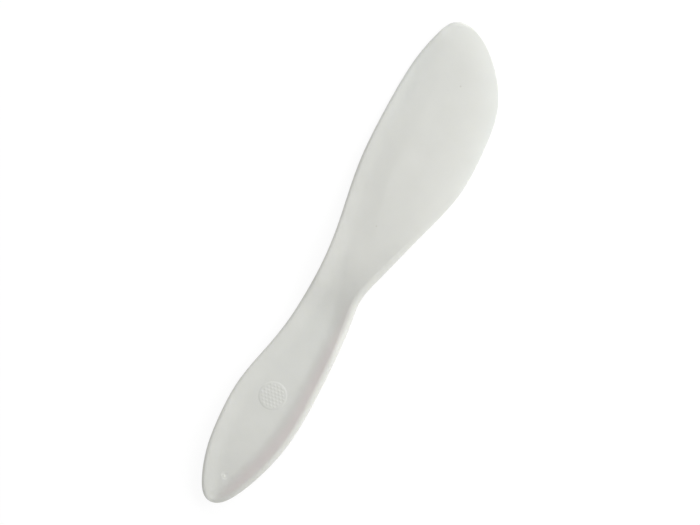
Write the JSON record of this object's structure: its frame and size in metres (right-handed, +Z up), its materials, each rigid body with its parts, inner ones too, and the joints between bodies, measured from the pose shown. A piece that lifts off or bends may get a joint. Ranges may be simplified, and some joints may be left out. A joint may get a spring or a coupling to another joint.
{
  "type": "bone folder",
  "caption": "One-piece moulded plastic paper folder: a dished grip with a raised rim along its front edge runs into a broad, thin, blunt blade for creasing and burnishing.",
  "frame": {"origin": "centre of the tool's footprint, on the flat underside it lies on", "axes": "+Z up out of the dished face, +Y along the tool from the butt of the grip to the tip of the blade, +X across it from the back edge to the front, working edge"},
  "size_m": [0.0384, 0.19, 0.005],
  "materials": {
    "white_plastic": "satin, slightly translucent white nylon-like plastic, moulded-in colour"
  },
  "bodies": {
    "root": {"folder_body": "white_plastic"}
  },
  "joints": []
}
